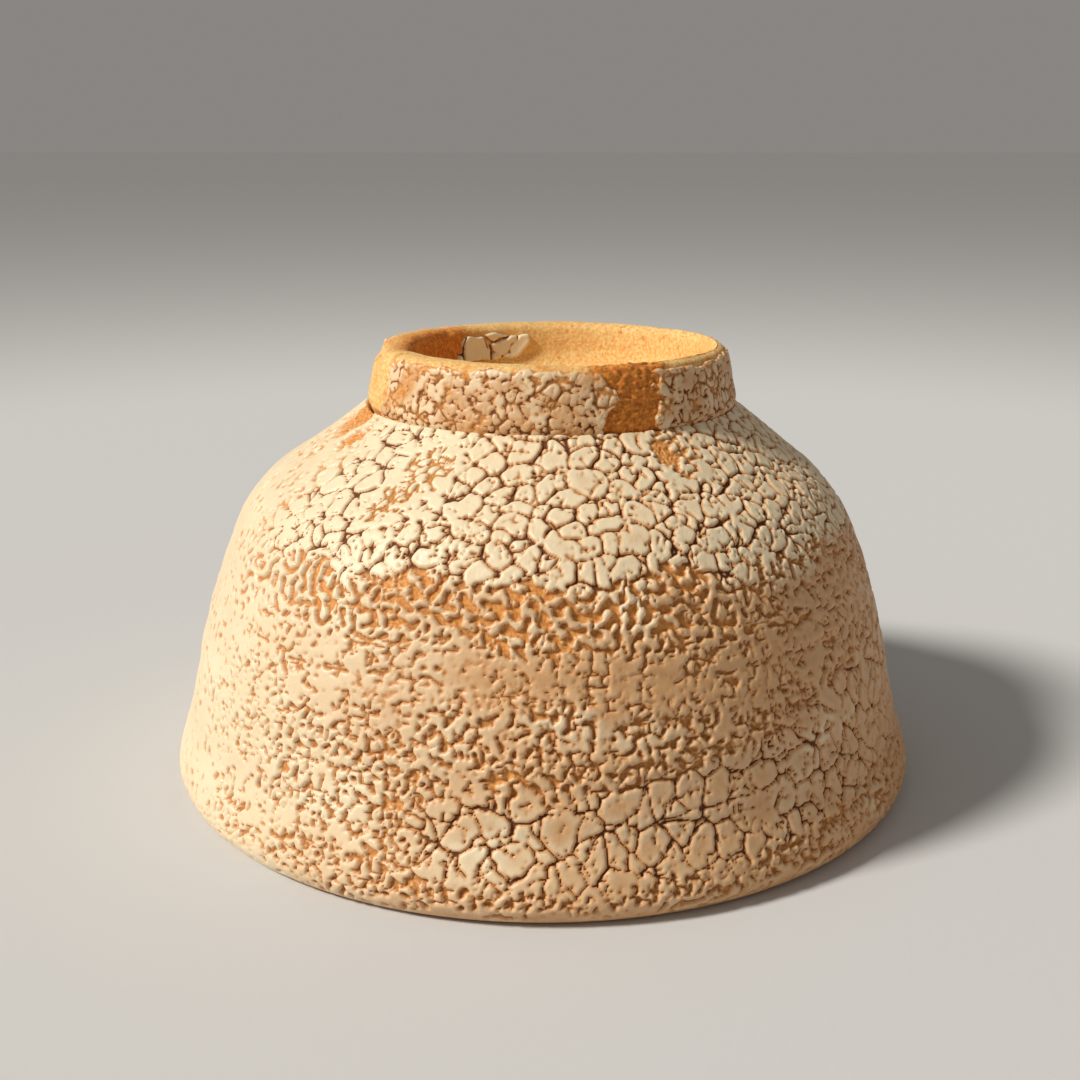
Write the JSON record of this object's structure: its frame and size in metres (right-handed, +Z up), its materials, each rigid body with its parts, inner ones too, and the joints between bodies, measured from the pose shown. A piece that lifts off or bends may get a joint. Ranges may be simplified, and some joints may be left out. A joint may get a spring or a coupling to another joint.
{
  "type": "matcha bowl",
  "caption": "Thrown stoneware tea bowl with a thick crawled white glaze over orange clay, stored upside down on its rim with its foot ring up.",
  "frame": {"origin": "centre of the plane that the rim stands on, on the bowl's axis of revolution", "axes": "+Z up along the bowl's axis, from the rim to the foot ring, because the bowl is stored upside down as it was pictured; +X to the right and -Y towards the viewer of the picture. In use the bowl is turned over, so that +Z points down."},
  "size_m": [0.124, 0.124, 0.071],
  "materials": {
    "body_clay": "bare, coarse orange stoneware",
    "foot_clay": "bare, trimmed ochre stoneware",
    "wall_glaze": "thick crawled white glaze, satin",
    "foot_glaze": "thin pinkish crawled glaze, satin",
    "inner_glaze": "smooth cream glaze with fine pinholes, satin"
  },
  "bodies": {
    "root": {"clay_bowl": "body_clay", "foot_ring": "foot_clay", "wall_glaze": "wall_glaze", "inner_glaze": "inner_glaze", "foot_glaze_front": "foot_glaze", "foot_glaze_back": "foot_glaze", "well_glaze_splash": "wall_glaze"}
  },
  "joints": []
}
